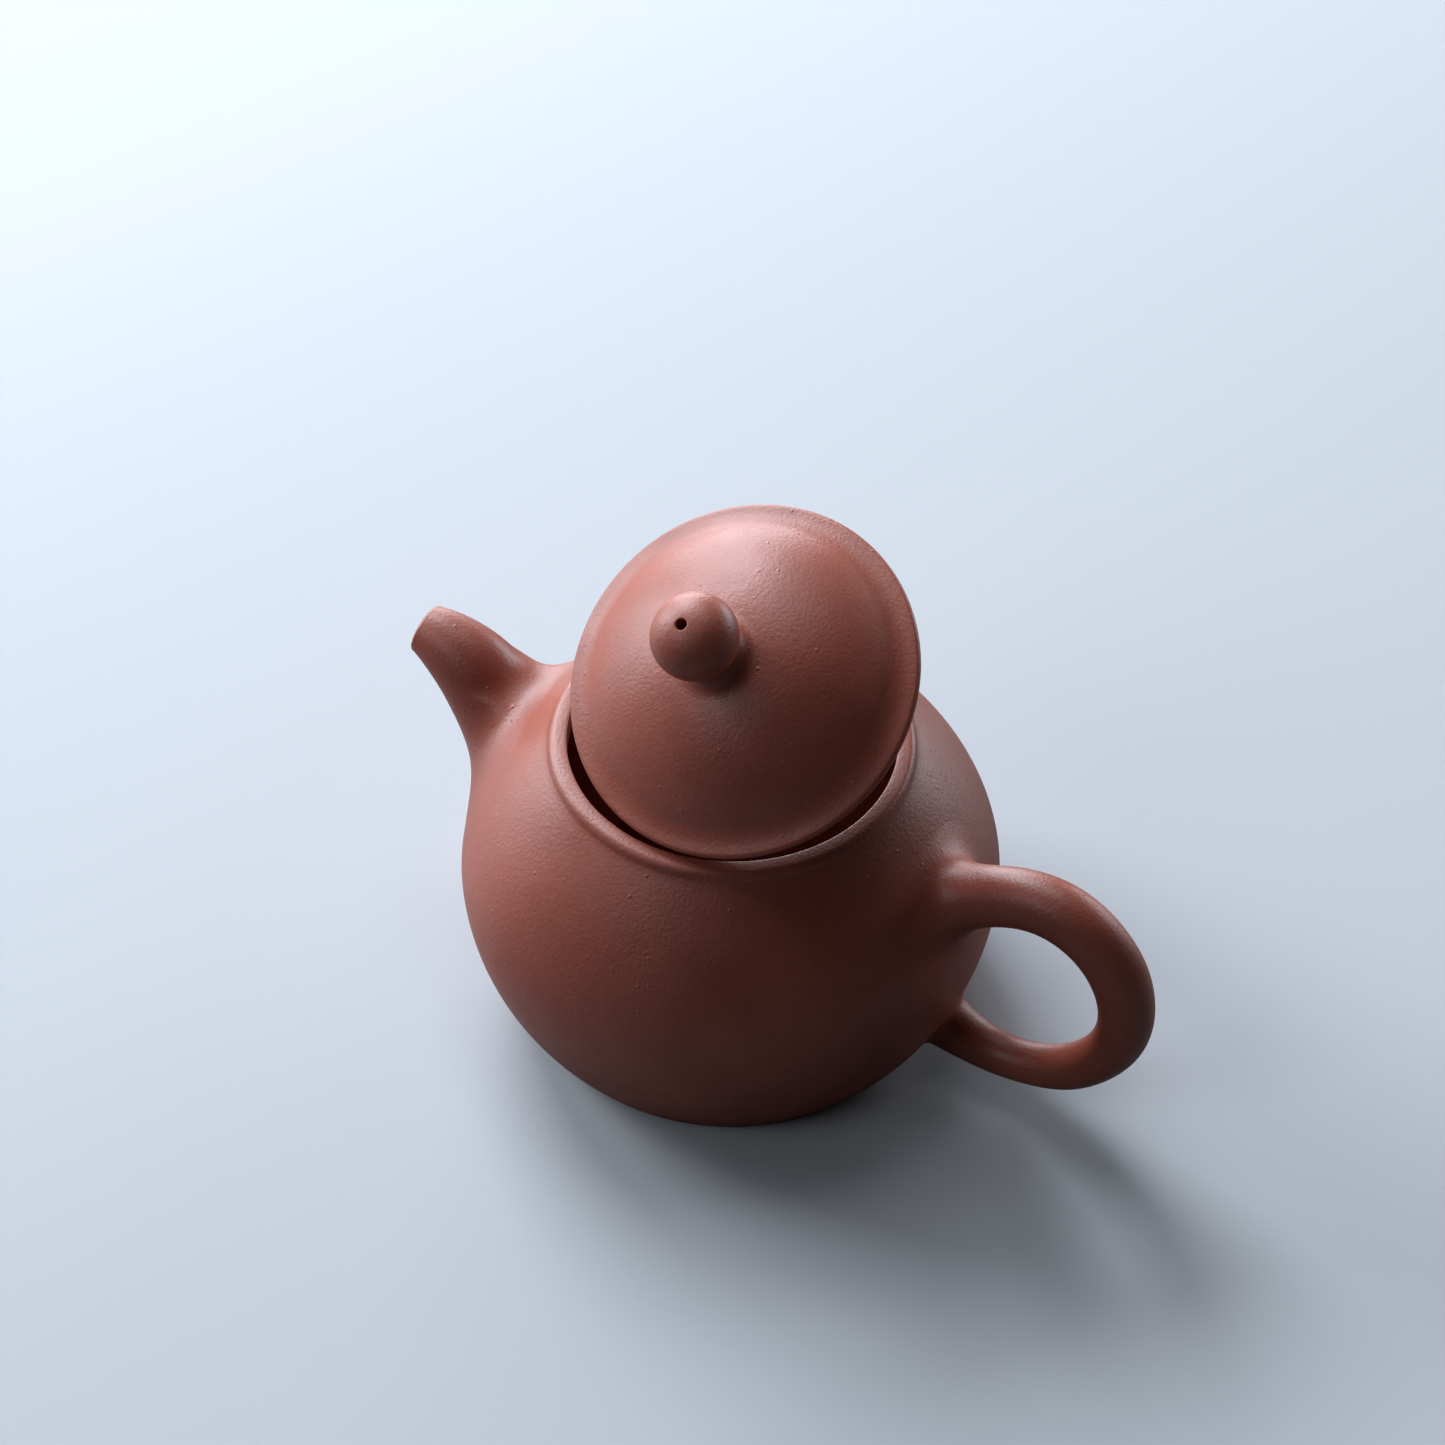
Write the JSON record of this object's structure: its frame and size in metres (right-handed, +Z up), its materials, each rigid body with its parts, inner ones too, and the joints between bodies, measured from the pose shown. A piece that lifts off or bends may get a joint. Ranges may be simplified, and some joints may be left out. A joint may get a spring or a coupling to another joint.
{
  "type": "clay teapot",
  "caption": "Squat round unglazed clay teapot with a short tapered spout, an ear-shaped side handle and a loose domed lid with a bead knob, tipped open on the lip.",
  "frame": {"origin": "centre of the flat base, on the table", "axes": "+Z up along the pot's own axis, +X towards the handle, -X towards the spout"},
  "size_m": [0.1213, 0.08, 0.0869],
  "materials": {
    "clay_body": "fired unglazed zisha clay, fine grain, satin",
    "clay_lid": "fired unglazed zisha clay, fine grain, satin"
  },
  "bodies": {
    "pot": {"base_disc": "clay_body", "body_wall": "clay_body", "closing_disc": "clay_body", "mouth_ring": "clay_body", "spout": "clay_body", "strainer": "clay_body", "handle": "clay_body"},
    "lid": {"lid_plate": "clay_lid", "lid_collar": "clay_lid", "knob": "clay_lid"}
  },
  "joints": [
    {"name": "lid_tip", "type": "hinge", "parent": "pot", "child": "lid", "pos_m": [-0.00161, -0.0247, 0.05464], "axis": [0.9735, -0.0939, -0.2085], "range_deg": [-33.45, 56]}
  ]
}
